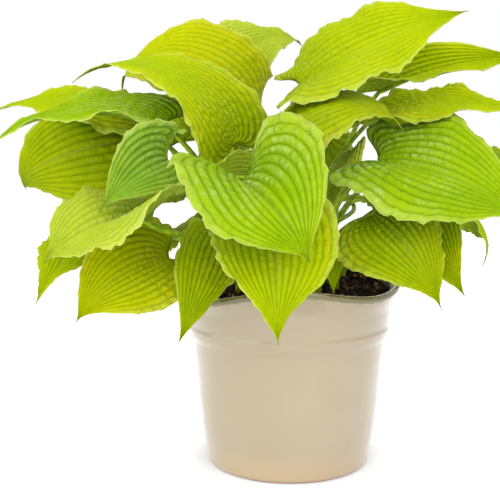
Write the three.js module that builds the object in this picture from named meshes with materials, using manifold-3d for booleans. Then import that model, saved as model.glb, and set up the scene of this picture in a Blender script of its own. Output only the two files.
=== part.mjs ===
import * as THREE from 'three';
import { mergeVertices } from 'three/addons/utils/BufferGeometryUtils.js';
import Module from 'manifold-3d';

// A hosta growing in a glazed pot. Millimetres, +Z up. The origin is the centre of the pot's foot,
// and the front of the plant faces -Y.

const wasm = await Module();
wasm.setup();

const DEG = Math.PI / 180;
const UP = new THREE.Vector3(0, 0, 1);

// ---------------------------------------------------------------------------
// Driving dimensions
// ---------------------------------------------------------------------------

const SIDES = 40; // facets round the pot and the soil
const GAP = 0.3; // clearance wherever two pieces touch

// The pot's outside from the foot to under the lip: [radius, height].
const POT_OUTSIDE = [
  [86.5, 0],
  [90, 3],
  [93.5, 20],
  [98, 52],
  [102.5, 92],
  [107, 138],
  [112.5, 150],
  [113, 157],
  [110.5, 163],
  [114.5, 172],
  [116, 182],
];
const WALL_FOOT = { radius: 84, height: 9 }; // inner wall where it meets the floor
const WALL_MIDDLE = { radius: 100, height: 120 };
const WALL_SHOULDER = { radius: 106.5, height: 186 };

const LIP_RADIUS = 120;
const LIP_HEIGHT = 212;
const HIGH_SIDE = 60 * DEG; // the lip and the soil stand higher towards this side
const LIP_TILT = 9;
const LIP_PINCHES = 3; // the soft clay was pinched in this many places
const LIP_WAVE = 9;
const LIP_WAVE_TURN = 33 * DEG;
const LIP_FLARE = 5; // how far the lip is pulled out between the pinches
const LIP_FLARE_TURN = 20 * DEG;
const LIP_THICK = 6;
const LIP_ROUND = 2.5;
const LIP_ROLL = [
  [0, -3.5],
  [0.8, -1.25],
  [-3, 0],
]; // how the outside rolls over the lip: [out, up] from its edge

const SOIL_EDGE = 194;
const SOIL_TILT = 5;
const SOIL_MOUND = 7;
const SOIL_LUMP = 1;
const SOIL_SHRINK = 2; // the dry soil stands off the wall under the lip
const SOIL_RINGS = [0.3, 0.55, 0.8]; // shares of the soil's radius
const HOLE_TOP = 213; // clear above the soil

const COLLAR_Z = 208; // above the soil, where a petiole starts to lean
const FOOT_Z = 188; // bottom of the petioles, inside their holes in the soil
const PETIOLE_SIDES = 5;
const PETIOLE_STEPS = 4;
const PETIOLE_RADIUS = { foot: 4.5, blade: 2.6 };
const LEAN_OUT = 0.35; // how much the petiole leans where it leaves the soil
const LEAN_LENGTH = 60; // shorter petioles lean less
const BEND_LOW = 0.4; // share of the petiole that keeps the direction of its foot
const BEND_HIGH = 0.3; // share that has turned to meet the blade
const MEET_RISE = 0.6; // how much it still rises there
const MIDRIB = [
  { along: 0.08, radius: 2.3 },
  { along: 0.36, radius: 1.2 },
]; // the petiole runs on under the blade as its midrib

const BLADE_THICK = 0.9;
const VEIN_START = 1e-6; // every vein starts at the base, and none of them at length 0
const VEIN_PACE = 1.15; // veins fan out before they run forward
const LOBE_PEAK = 0.12; // share of the length where the heart's lobes reach furthest back
const SHOULDER = 0.55; // under 1 puts the widest place nearer to the base
const TAPER = 0.3; // draws the outline in towards the tip
const DRIP_TIP = 0.6; // draws the last of it out to a narrow point
const FOLD_EASE = 0.5; // share of the fold that is gone at the tip
const FLAT = 0.001; // a half without curl still bends this little, in radians
const TWIST_FROM = 0.35; // share of the length that keeps its roll when the blade twists
const WAVE_EDGE = 3; // how closely the waves keep to the edge
const WAVE_OFFSET = 0.37; // share of a wave between the left edge and the right
const RIB_HEIGHT = 2;
const RIB_SINK = 0.6; // share of a rib's height that lies below the sheet
const ROW_PACE = 1.35; // rows of the blade's grid are closer at the base

// Blade grids: cells from base to tip, cells on each half, and ribs on each half.
const LARGE = { rows: 8, columns: 6, ribs: 3 };
const SMALL = { rows: 7, columns: 4, ribs: 2 };

const TONES = {
  bright: '#a9c71c',
  golden: '#b9c918',
  fresh: '#9ccb3a',
  pale: '#b4d45c',
  deep: '#7fa51a',
  blue: '#8fbf66',
};

// One entry for each leaf. `root` is where its petiole leaves the soil: an angle in degrees round
// the pot from +X, and a radius. `base` and `tip` are the ends of the midrib, `arch` its rise over
// the straight line between them, `width` the blade's full width, and `lobe` how far the heart's
// lobes reach back, as a share of the length. `roll` leans the whole blade about that line,
// `twist` turns the tip against the base and `fold` lifts both halves like a V. `curl` bends the
// left and the right half (degrees, minus is down), `flare` bends them more at the base, where the
// lobes are, and `wave` ripples the edge: a height, a number of waves and where they start.
const LEAVES = [
  {
    name: 'front_centre', tone: 'fresh', grid: LARGE, root: [274, 39],
    base: [-45, -190, 330], tip: [20, -230, 260], arch: 15, width: 170, lobe: 0.3,
    roll: 30, twist: 60, fold: 40, curl: [10, -40], flare: [40, 0],
    wave: [4, 3, 0.3],
  },
  {
    name: 'right_large', tone: 'fresh', grid: LARGE, root: [303, 44],
    base: [90, -65, 340], tip: [245, -95, 280], arch: 15, width: 200, lobe: 0.24,
    roll: 23, twist: 45, fold: 17, curl: [5, -45], flare: [0, 0],
    wave: [5, 3, 0.6],
  },
  {
    name: 'top_right', tone: 'bright', grid: LARGE, root: [170, 32],
    base: [10, -5, 418], tip: [190, 0, 496], arch: 12, width: 178, lobe: 0.2,
    roll: 30, twist: 45, fold: 15, curl: [-25, -15], flare: [0, 0],
    wave: [5, 3, 0.9],
  },
  {
    name: 'far_right_top', tone: 'bright', grid: SMALL, root: [349, 45],
    base: [105, 130, 410], tip: [280, 110, 450], arch: 15, width: 75, lobe: 0.16,
    roll: 45, twist: 75, fold: 35, curl: [25, 20], flare: [0, 0],
    wave: [6, 2.5, 0.8],
  },
  {
    name: 'right_rear', tone: 'bright', grid: LARGE, root: [86, 35],
    base: [95, 50, 385], tip: [255, -35, 390], arch: 10, width: 105, lobe: 0.2,
    roll: 10, twist: 25, fold: 10, curl: [25, -35], flare: [0, 0],
    wave: [6, 3, 0.2],
  },
  {
    name: 'centre_dome', tone: 'deep', grid: LARGE, root: [15, 20],
    base: [-15, -80, 362], tip: [120, -45, 368], arch: 40, width: 155, lobe: 0.2,
    roll: 10, twist: 25, fold: 5, curl: [-20, -40], flare: [0, 0],
    wave: [3, 3, 0.5],
  },
  {
    name: 'top_left', tone: 'golden', grid: LARGE, root: [149, 41],
    base: [-45, 65, 365], tip: [-195, 95, 400], arch: 90, width: 175, lobe: 0.24,
    roll: -40, twist: -10, fold: 0, curl: [10, -5], flare: [0, 0],
    wave: [4, 3, 0.4],
  },
  {
    name: 'folded', tone: 'bright', grid: LARGE, root: [127, 35],
    base: [-60, -35, 355], tip: [-230, -35, 420], arch: 55, width: 120, lobe: 0.18,
    roll: -25, twist: 45, fold: 0, curl: [-10, 10], flare: [0, 60],
    wave: [3, 2.5, 0.7],
  },
  {
    name: 'left_long', tone: 'fresh', grid: LARGE, root: [166, 53],
    base: [-125, -75, 380], tip: [-320, -60, 350], arch: 30, width: 75, lobe: 0.16,
    roll: -25, twist: 10, fold: 10, curl: [10, -5], flare: [60, 60],
    wave: [6, 3, 0.8],
  },
  {
    name: 'left_rear', tone: 'bright', grid: LARGE, root: [221, 29],
    base: [-160, 15, 380], tip: [-340, 30, 385], arch: 20, width: 110, lobe: 0.2,
    roll: -12, twist: -10, fold: 10, curl: [-40, -5], flare: [0, 0],
    wave: [5, 3, 0.4],
  },
  {
    name: 'left_round', tone: 'deep', grid: LARGE, root: [206, 60],
    base: [-160, 15, 355], tip: [-300, 40, 300], arch: 60, width: 160, lobe: 0.24,
    roll: -75, twist: -55, fold: 0, curl: [-10, -45], flare: [0, 0],
    wave: [3, 2, 0.9],
  },
  {
    name: 'left_curled', tone: 'blue', grid: SMALL, root: [204, 37],
    base: [-120, -120, 345], tip: [-180, -180, 300], arch: 15, width: 85, lobe: 0.2,
    roll: -40, twist: 30, fold: 25, curl: [-55, 35], flare: [0, 60],
    wave: [4, 2, 0.9],
  },
  {
    name: 'left_low', tone: 'pale', grid: LARGE, root: [220, 53],
    base: [-140, -145, 290], tip: [-235, -175, 250], arch: 15, width: 175, lobe: 0.24,
    roll: -20, twist: -45, fold: 35, curl: [-30, -60], flare: [90, 0],
    wave: [5, 3, 0],
  },
  {
    name: 'front_left_low', tone: 'golden', grid: LARGE, root: [245, 53],
    base: [-120, -110, 245], tip: [-215, -125, 180], arch: 20, width: 125, lobe: 0.24,
    roll: -35, twist: -55, fold: 15, curl: [-60, 30], flare: [0, 0],
    wave: [3, 2.5, 0.4],
  },
  {
    name: 'far_left_low', tone: 'bright', grid: SMALL, root: [184, 55],
    base: [-220, -45, 260], tip: [-255, -125, 200], arch: 5, width: 85, lobe: 0.24,
    roll: -5, twist: 40, fold: 25, curl: [-40, -70], flare: [0, 0],
    wave: [4, 2, 0.4],
  },
  {
    name: 'front_left', tone: 'deep', grid: SMALL, root: [258, 49],
    base: [-70, -130, 275], tip: [-105, -195, 175], arch: 15, width: 75, lobe: 0.2,
    roll: -40, twist: -20, fold: 5, curl: [-75, -45], flare: [0, 0],
    wave: [3, 2, 0.1],
  },
  {
    name: 'front_low', tone: 'bright', grid: LARGE, root: [277, 52],
    base: [-15, -165, 285], tip: [-10, -205, 180], arch: 20, width: 125, lobe: 0.2,
    roll: 5, twist: -80, fold: 10, curl: [-15, 30], flare: [0, 0],
    wave: [4, 2.5, 0.5],
  },
  {
    name: 'front_right_narrow', tone: 'bright', grid: SMALL, root: [301, 59],
    base: [35, -65, 275], tip: [45, -110, 205], arch: 10, width: 40, lobe: 0.2,
    roll: -5, twist: 35, fold: 0, curl: [-45, -25], flare: [0, 0],
    wave: [2, 2, 0.6],
  },
  {
    name: 'front_right', tone: 'deep', grid: LARGE, root: [335, 38],
    base: [85, -105, 290], tip: [150, -140, 200], arch: 15, width: 125, lobe: 0.12,
    roll: 35, twist: -15, fold: 10, curl: [-35, -45], flare: [0, 0],
    wave: [4, 2.5, 0],
  },
  {
    name: 'right_low', tone: 'bright', grid: LARGE, root: [336, 55],
    base: [125, -10, 290], tip: [175, -135, 210], arch: 5, width: 90, lobe: 0.24,
    roll: 25, twist: 5, fold: 15, curl: [-45, 20], flare: [0, 0],
    wave: [4, 2.5, 0.6],
  },
  {
    name: 'top_rear', tone: 'pale', grid: LARGE, root: [255, 30],
    base: [-80, 190, 420], tip: [15, 205, 465], arch: 40, width: 130, lobe: 0.24,
    roll: 45, twist: -40, fold: 25, curl: [-45, -60], flare: [0, 0],
    wave: [6, 3, 0.4],
  },
  {
    name: 'centre_twisted', tone: 'pale', grid: SMALL, root: [291, 27],
    base: [65, -55, 350], tip: [40, -125, 285], arch: 5, width: 40, lobe: 0.2,
    roll: 40, twist: -20, fold: 10, curl: [-40, 20], flare: [0, 0],
    wave: [4, 2, 0.7],
  },
  {
    name: 'right_hidden', tone: 'bright', grid: SMALL, root: [36, 51],
    base: [170, 40, 335], tip: [265, 75, 320], arch: 15, width: 70, lobe: 0.24,
    roll: -20, twist: 0, fold: 10, curl: [20, -15], flare: [0, 0],
    wave: [4, 2, 0.8],
  },
  {
    name: 'left_inner', tone: 'deep', grid: SMALL, root: [353, 8],
    base: [-35, -85, 325], tip: [-80, -110, 295], arch: 20, width: 65, lobe: 0.24,
    roll: 40, twist: 15, fold: 40, curl: [-25, -40], flare: [0, 0],
    wave: [3, 2, 0.3],
  },
  {
    name: 'back_right_low', tone: 'bright', grid: SMALL, root: [54, 55],
    base: [130, 155, 240], tip: [125, 195, 160], arch: 40, width: 135, lobe: 0.24,
    roll: -60, twist: -20, fold: 5, curl: [-25, 5], flare: [0, 0],
    wave: [4, 3, 0.7],
  },
  {
    name: 'back_low', tone: 'bright', grid: SMALL, root: [73, 61],
    base: [75, 200, 275], tip: [35, 200, 155], arch: 55, width: 95, lobe: 0.24,
    roll: -30, twist: 30, fold: 35, curl: [-20, -30], flare: [0, 0],
    wave: [4, 3, 0.7],
  },
  {
    name: 'back_left_low', tone: 'bright', grid: SMALL, root: [102, 52],
    base: [-95, 115, 270], tip: [-80, 235, 245], arch: 15, width: 150, lobe: 0.24,
    roll: -50, twist: 20, fold: 10, curl: [15, 0], flare: [0, 0],
    wave: [4, 3, 0.9],
  },
  {
    name: 'back_left_side', tone: 'bright', grid: SMALL, root: [127, 61],
    base: [-140, 80, 300], tip: [-185, 100, 150], arch: 40, width: 130, lobe: 0.24,
    roll: 0, twist: 25, fold: 10, curl: [-10, 0], flare: [0, 0],
    wave: [4, 3, 0.1],
  },
  {
    name: 'back_right', tone: 'bright', grid: SMALL, root: [25, 36],
    base: [130, 105, 340], tip: [195, 200, 310], arch: 35, width: 140, lobe: 0.24,
    roll: 60, twist: 35, fold: 0, curl: [0, -15], flare: [0, 0],
    wave: [5, 3, 0.5],
  },
  {
    name: 'back_left', tone: 'bright', grid: SMALL, root: [134, 51],
    base: [-140, 90, 345], tip: [-160, 215, 290], arch: 45, width: 105, lobe: 0.24,
    roll: -40, twist: 5, fold: 20, curl: [5, -40], flare: [0, 0],
    wave: [5, 3, 0.4],
  },
  {
    name: 'back_centre', tone: 'bright', grid: SMALL, root: [75, 47],
    base: [50, 145, 360], tip: [5, 205, 340], arch: 50, width: 115, lobe: 0.24,
    roll: 85, twist: -20, fold: 10, curl: [-70, -45], flare: [0, 0],
    wave: [5, 3, 1],
  },
  {
    name: 'side_right_low', tone: 'bright', grid: SMALL, root: [12, 60],
    base: [158, 80, 270], tip: [218, 30, 215], arch: 35, width: 105, lobe: 0.24,
    roll: -30, twist: -10, fold: 0, curl: [-45, -40], flare: [0, 0],
    wave: [4, 3, 0.5],
  },
];

// ---------------------------------------------------------------------------
// Solids
// ---------------------------------------------------------------------------

// A closed body from rings of equal length, each ring a list of points going round
// anticlockwise as seen from the last ring. Fans close both ends.
function loft(rings) {
  const count = rings[0].length;
  const points = rings.flat();
  const triangles = [];
  for (let ring = 0; ring < rings.length - 1; ring += 1) {
    for (let i = 0; i < count; i += 1) {
      const a = ring * count + i;
      const b = ring * count + ((i + 1) % count);
      triangles.push(a, b, b + count, a, b + count, a + count);
    }
  }
  const first = points.length;
  const last = first + 1;
  points.push(centreOf(rings[0]), centreOf(rings.at(-1)));
  const top = (rings.length - 1) * count;
  for (let i = 0; i < count; i += 1) {
    const next = (i + 1) % count;
    triangles.push(first, next, i, last, top + i, top + next);
  }
  return geometryFrom(points, triangles);
}

function centreOf(ring) {
  const sum = new THREE.Vector3();
  ring.forEach((point) => sum.add(point));
  return sum.divideScalar(ring.length);
}

function geometryFrom(points, triangles) {
  const geometry = new THREE.BufferGeometry().setFromPoints(points);
  geometry.setIndex(triangles);
  return geometry;
}

function toManifold(geometry) {
  const bare = geometry.clone();
  bare.deleteAttribute('normal');
  bare.deleteAttribute('uv');
  const merged = mergeVertices(bare, 1e-4);
  return new wasm.Manifold(
    new wasm.Mesh({
      numProp: 3,
      vertProperties: new Float32Array(merged.attributes.position.array),
      triVerts: new Uint32Array(merged.index.array),
    }),
  );
}

function toGeometry(manifold) {
  const mesh = manifold.getMesh();
  const geometry = new THREE.BufferGeometry();
  geometry.setAttribute('position', new THREE.BufferAttribute(mesh.vertProperties, 3));
  geometry.setIndex(new THREE.BufferAttribute(mesh.triVerts, 1));
  return geometry;
}

// A ring of points round the pot's axis, from a function of the angle.
function ringRound(place) {
  return Array.from({ length: SIDES }, (_, i) => {
    const angle = (i * 2 * Math.PI) / SIDES;
    const { radius, height } = place(angle);
    return new THREE.Vector3(radius * Math.cos(angle), radius * Math.sin(angle), height);
  });
}

// ---------------------------------------------------------------------------
// Pot
// ---------------------------------------------------------------------------

function lip(angle) {
  const flare = Math.cos(LIP_PINCHES * (angle + LIP_FLARE_TURN));
  const wave = Math.cos(LIP_PINCHES * (angle + LIP_WAVE_TURN));
  return {
    radius: LIP_RADIUS + LIP_FLARE * flare,
    height: LIP_HEIGHT + LIP_TILT * Math.cos(angle - HIGH_SIDE) - LIP_WAVE * wave,
  };
}

function lipInside(angle) {
  const edge = lip(angle);
  return { radius: edge.radius - LIP_THICK, height: edge.height - LIP_ROUND };
}

function makePot() {
  const outside = POT_OUTSIDE.map(([radius, height]) => ringRound(() => ({ radius, height })));
  const edge = LIP_ROLL.map(([out, up]) =>
    ringRound((angle) => ({ radius: lip(angle).radius + out, height: lip(angle).height + up })),
  );
  const inside = [lipInside, () => WALL_SHOULDER, () => WALL_MIDDLE, () => WALL_FOOT];
  return loft([...outside, ...edge, ...inside.map(ringRound)]);
}

// The radius of the inner wall between its shoulder and the lip.
function wallRadius(angle, height) {
  const top = lipInside(angle);
  const share = (height - WALL_SHOULDER.height) / (top.height - WALL_SHOULDER.height);
  return THREE.MathUtils.lerp(WALL_SHOULDER.radius, top.radius, share);
}

// ---------------------------------------------------------------------------
// Soil
// ---------------------------------------------------------------------------

function soilEdge(angle) {
  const height = SOIL_EDGE + SOIL_TILT * Math.cos(angle - HIGH_SIDE);
  return { radius: wallRadius(angle, height) - SOIL_SHRINK, height };
}

// A low mound, made uneven by two sets of ripples that cross.
function soilTop(angle, share) {
  const edge = soilEdge(angle);
  const lump = SOIL_LUMP * Math.sin(7 * angle + 9 * share) * Math.cos(4 * angle - 20 * share);
  return { radius: edge.radius * share, height: edge.height + SOIL_MOUND * (1 - share ** 2) + lump };
}

function makeSoil(leaves) {
  const inwards = (place, gap, lift = 0) => () => ({
    radius: place.radius - gap,
    height: place.height + lift,
  });
  const walls = [
    inwards(WALL_FOOT, GAP, GAP),
    inwards(WALL_MIDDLE, GAP),
    inwards(WALL_SHOULDER, SOIL_SHRINK),
    soilEdge,
  ];
  const tops = SOIL_RINGS.toReversed().map((share) => (angle) => soilTop(angle, share));
  let soil = toManifold(loft([...walls, ...tops].map(ringRound)));
  leaves.forEach((leaf) => {
    soil = soil.subtract(toManifold(petioleHole(leaf)));
  });
  return toGeometry(soil);
}

// ---------------------------------------------------------------------------
// Leaves
// ---------------------------------------------------------------------------

// The midrib is an arc over the chord from base to tip. `roll` leans the arc round that chord,
// and `twist` turns the blade along it. `frameAt` gives a point on the midrib, with the
// directions along it, up out of the blade and towards the blade's right-hand side.
function midribOf(leaf) {
  const base = new THREE.Vector3(...leaf.base);
  const chord = new THREE.Vector3(...leaf.tip).sub(base);
  const length = chord.length();
  chord.normalize();
  const up = UP.clone().addScaledVector(chord, -UP.dot(chord)).normalize();
  up.applyAxisAngle(chord, leaf.roll * DEG);
  const sweep = 2 * Math.atan((2 * leaf.arch) / length);
  const radius = length / (2 * Math.sin(sweep));
  const frameAt = (along) => {
    const inside = Math.max(along, 0);
    const angle = sweep * (2 * inside - 1);
    const point = base
      .clone()
      .addScaledVector(chord, length / 2 + radius * Math.sin(angle))
      .addScaledVector(up, radius * (Math.cos(angle) - Math.cos(sweep)));
    const forward = chord
      .clone()
      .multiplyScalar(Math.cos(angle))
      .addScaledVector(up, -Math.sin(angle));
    const normal = up.clone().multiplyScalar(Math.cos(angle)).addScaledVector(chord, Math.sin(angle));
    normal.applyAxisAngle(forward, leaf.twist * DEG * (inside - TWIST_FROM));
    point.addScaledVector(forward, Math.min(along, 0) * 2 * radius * sweep);
    return { point, forward, normal, right: forward.clone().cross(normal) };
  };
  return { frameAt };
}

// A heart-shaped outline. `vein` runs from 0 at the base to 1 at the tip along every vein, and
// `side` from -1 at the left edge to 1 at the right edge.
function outline(vein, side, lobe) {
  const back = (vein / LOBE_PEAK) * Math.exp(1 - vein / LOBE_PEAK);
  const round = Math.sin(Math.PI * vein ** SHOULDER) ** (1 + DRIP_TIP * vein ** 4);
  return {
    along: vein ** VEIN_PACE - lobe * back * side ** 2,
    across: Math.abs(side) * round * (1 - TAPER * vein ** 5),
  };
}

// A point in the middle of the blade's thickness, with the blade's normal there.
function bladePoint(leaf, vein, side) {
  const { along, across } = outline(vein, side, leaf.lobe);
  const { point, normal, right } = midribOf(leaf).frameAt(along);
  const onRight = side >= 0;
  const hand = Math.sign(side);
  const fold = leaf.fold * DEG * (1 - FOLD_EASE * vein);
  const flare = (onRight ? leaf.flare[1] : leaf.flare[0]) * (1 - vein) ** 4;
  const curl = ((onRight ? leaf.curl[1] : leaf.curl[0]) + flare) * DEG || FLAT;
  const slope = fold + curl * across;
  const half = leaf.width / 2;
  point.addScaledVector(right, (hand * half * (Math.sin(slope) - Math.sin(fold))) / curl);
  point.addScaledVector(normal, (half * (Math.cos(fold) - Math.cos(slope))) / curl);
  const facing = normal
    .clone()
    .multiplyScalar(Math.cos(slope))
    .addScaledVector(right, -hand * Math.sin(slope));
  const [height, count, phase] = leaf.wave;
  const turns = count * vein + phase + (onRight ? 0 : WAVE_OFFSET);
  const edge = Math.abs(side) ** WAVE_EDGE * Math.sin(Math.PI * vein ** 0.7);
  const wave = height * edge * Math.sin(2 * Math.PI * turns);
  const ridge = Math.abs(Math.sin(Math.PI * leaf.grid.ribs * side)) - RIB_SINK;
  const rib = RIB_HEIGHT * ridge * Math.sin(Math.PI * vein ** 0.6) ** 0.7;
  return { point: point.addScaledVector(facing, wave + rib), normal: facing };
}

// The blade is a grid of points on a sheet. Both faces share one pattern of triangles.
function makeBlade(leaf) {
  const columns = 2 * leaf.grid.columns + 1;
  const sheet = [bladePoint(leaf, VEIN_START, 0)];
  for (let row = 1; row < leaf.grid.rows; row += 1) {
    for (let column = 0; column < columns; column += 1) {
      const vein = (row / leaf.grid.rows) ** ROW_PACE;
      sheet.push(bladePoint(leaf, vein, column / leaf.grid.columns - 1));
    }
  }
  sheet.push(bladePoint(leaf, 1, 0));
  const tip = sheet.length - 1;
  const at = (row, column) => 1 + row * columns + column;
  const lastRow = leaf.grid.rows - 2;
  const upper = [];
  for (let column = 0; column < columns - 1; column += 1) {
    upper.push([0, at(0, column + 1), at(0, column)]);
    upper.push([tip, at(lastRow, column), at(lastRow, column + 1)]);
    for (let row = 0; row < lastRow; row += 1) {
      const [a, b] = [at(row, column), at(row, column + 1)];
      const [c, d] = [at(row + 1, column + 1), at(row + 1, column)];
      const onLeft = column < leaf.grid.columns;
      upper.push(onLeft ? [a, b, c] : [a, b, d], onLeft ? [a, c, d] : [b, c, d]);
    }
  }
  const rows = Array.from({ length: lastRow + 1 }, (_, row) => row);
  const rightEdge = rows.map((row) => at(row, columns - 1));
  const leftEdge = rows.toReversed().map((row) => at(row, 0));
  const rim = [0, ...rightEdge, tip, ...leftEdge];
  const under = sheet.length;
  const triangles = upper.flat();
  upper.forEach(([a, b, c]) => triangles.push(a + under, c + under, b + under));
  rim.forEach((a, i) => {
    const b = rim[(i + 1) % rim.length];
    triangles.push(b, a, a + under, b, a + under, b + under);
  });
  const half = BLADE_THICK / 2;
  const shift = (by) => sheet.map(({ point, normal }) => point.clone().addScaledVector(normal, by));
  return geometryFrom([...shift(half), ...shift(-half)], triangles);
}

function rootOf(leaf) {
  const [angle, radius] = leaf.root;
  return new THREE.Vector3(radius * Math.cos(angle * DEG), radius * Math.sin(angle * DEG), FOOT_Z);
}

// The petiole rises from the soil, bends over to the blade and runs on under it as the midrib.
function makePetiole(leaf) {
  const foot = rootOf(leaf);
  const collar = foot.clone().setZ(COLLAR_Z);
  const base = bladePoint(leaf, VEIN_START, 0);
  const end = base.point.addScaledVector(base.normal, -PETIOLE_RADIUS.blade);
  const reach = end.distanceTo(collar);
  const lean = new THREE.Vector3(leaf.base[0] - foot.x, leaf.base[1] - foot.y, 0);
  lean.multiplyScalar(LEAN_OUT / Math.max(LEAN_LENGTH, reach)).add(UP).normalize();
  const arrive = midribOf(leaf).frameAt(0).forward.addScaledVector(UP, MEET_RISE).normalize();
  const bend = new THREE.CubicBezierCurve3(
    collar,
    collar.clone().addScaledVector(lean, BEND_LOW * reach),
    end.clone().addScaledVector(arrive, -BEND_HIGH * reach),
    end,
  );
  const path = [foot, ...bend.getPoints(PETIOLE_STEPS)];
  const { foot: thick, blade: thin } = PETIOLE_RADIUS;
  const radii = path.map((_, i) =>
    THREE.MathUtils.lerp(thick, thin, Math.max(0, i - 1) / PETIOLE_STEPS),
  );
  MIDRIB.forEach(({ along, radius }) => {
    const { point, normal } = bladePoint(leaf, along ** (1 / VEIN_PACE), 0);
    path.push(point.addScaledVector(normal, -radius));
    radii.push(radius);
  });
  return taperedTube(path, radii);
}

// A round bar through a list of points, its radius given at each one.
function taperedTube(path, radii) {
  const normal = new THREE.Vector3(1, 0, 0);
  const rings = path.map((point, i) => {
    const before = path[Math.max(i - 1, 0)];
    const after = path[Math.min(i + 1, path.length - 1)];
    const forward = after.clone().sub(before).normalize();
    normal.addScaledVector(forward, -normal.dot(forward)).normalize();
    const across = forward.clone().cross(normal);
    return Array.from({ length: PETIOLE_SIDES }, (_, side) => {
      const angle = (side * 2 * Math.PI) / PETIOLE_SIDES;
      return point
        .clone()
        .addScaledVector(normal, radii[i] * Math.cos(angle))
        .addScaledVector(across, radii[i] * Math.sin(angle));
    });
  });
  return loft(rings);
}

function petioleHole(leaf) {
  const radius = PETIOLE_RADIUS.foot + GAP / Math.cos(Math.PI / PETIOLE_SIDES);
  const foot = rootOf(leaf).setZ(FOOT_Z - GAP);
  return taperedTube([foot, foot.clone().setZ(HOLE_TOP)], [radius, radius]);
}

// ---------------------------------------------------------------------------
// Assembly
// ---------------------------------------------------------------------------

function piece(name, geometry, color, roughness) {
  const material = new THREE.MeshStandardMaterial({ color, roughness, metalness: 0 });
  const flat = geometry.toNonIndexed();
  flat.computeVertexNormals();
  const mesh = new THREE.Mesh(flat, material);
  mesh.name = name;
  return mesh;
}

const plant = new THREE.Group();
plant.add(piece('pot', makePot(), '#d8c9b0', 0.25));
plant.add(piece('soil', makeSoil(LEAVES), '#38291f', 0.95));
LEAVES.forEach((leaf) => {
  const whole = toManifold(makeBlade(leaf)).add(toManifold(makePetiole(leaf)));
  plant.add(piece(`leaf_${leaf.name}`, toGeometry(whole), TONES[leaf.tone], 0.5));
});

export default plant;
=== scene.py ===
# %% [markdown]
# # A hosta in a glazed pot
# The real object is a clump of about thirty broad, ribbed leaves on long stalks, growing out of
# dark soil in a pot that was thrown on a wheel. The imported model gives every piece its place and
# its size, and this script gives each one its fine surface and its finish. Folds, ribs and
# ripples are form, so they are made as geometry. Only small wrinkles and grain are left to bump.

# %% Load the frame
import itertools
import math

import bpy
import numpy as np
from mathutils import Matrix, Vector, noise


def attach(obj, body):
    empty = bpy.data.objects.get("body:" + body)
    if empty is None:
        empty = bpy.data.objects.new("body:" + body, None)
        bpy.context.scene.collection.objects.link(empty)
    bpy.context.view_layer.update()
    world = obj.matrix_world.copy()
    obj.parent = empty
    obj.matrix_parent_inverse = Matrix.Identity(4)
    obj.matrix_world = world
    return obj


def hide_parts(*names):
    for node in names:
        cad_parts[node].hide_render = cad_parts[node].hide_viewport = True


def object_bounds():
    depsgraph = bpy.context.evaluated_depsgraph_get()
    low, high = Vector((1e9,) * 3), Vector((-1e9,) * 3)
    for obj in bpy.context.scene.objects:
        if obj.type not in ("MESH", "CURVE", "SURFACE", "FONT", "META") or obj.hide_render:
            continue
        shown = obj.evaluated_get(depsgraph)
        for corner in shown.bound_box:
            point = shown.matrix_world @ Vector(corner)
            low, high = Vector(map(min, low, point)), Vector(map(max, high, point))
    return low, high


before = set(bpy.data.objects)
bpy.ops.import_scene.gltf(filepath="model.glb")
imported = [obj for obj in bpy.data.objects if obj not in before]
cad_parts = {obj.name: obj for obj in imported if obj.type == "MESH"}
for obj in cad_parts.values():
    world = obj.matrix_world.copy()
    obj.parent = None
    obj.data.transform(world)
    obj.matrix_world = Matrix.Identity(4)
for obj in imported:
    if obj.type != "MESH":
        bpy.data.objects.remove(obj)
cad_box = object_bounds()
print("nodes:", len(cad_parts), "box:", [[round(v, 3) for v in corner] for corner in cad_box])

# %% [markdown]
# ## Camera
# The plant is seen from a little above, through a long lens that keeps near and far leaves in
# proportion. The camera could track an empty, but two angles say the same more plainly.

# %% Camera
CAMERA_PLACE = (0, -1.2, 0.426)
CAMERA_DOWN = 0.156
CAMERA_TURN = 0.036
LENS = 79.06

camera = bpy.data.objects.new("camera", bpy.data.cameras.new("camera"))
camera.data.lens = LENS
camera.location = CAMERA_PLACE
camera.rotation_euler = (math.pi / 2 - CAMERA_DOWN, 0, CAMERA_TURN)
bpy.context.collection.objects.link(camera)
scene = bpy.context.scene
scene.camera = camera
scene.view_settings.view_transform = "Standard"
print("lens:", LENS, "mm")

# %% [markdown]
# ## Shader maths as expressions
# A finish is a small network of nodes. Written out node by node it hides what it does, so one
# class wraps a socket and lets plain arithmetic add the Math nodes, and another holds a material
# and adds every other kind of node.


# %% Sockets
class Socket:
    """One output of a node, on which arithmetic adds Math nodes."""

    def __init__(self, finish, output):
        self.finish, self.output = finish, output

    def math(self, operation, first, second=0.0):
        return self.finish.node("ShaderNodeMath", {"operation": operation}, {0: first, 1: second})

    def __add__(self, other):
        return self.math("ADD", self, other)

    def __sub__(self, other):
        return self.math("SUBTRACT", self, other)

    def __mul__(self, other):
        return self.math("MULTIPLY", self, other)

    def __abs__(self):
        return self.math("ABSOLUTE", self)

    def sine(self):
        return self.math("SINE", self)


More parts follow.
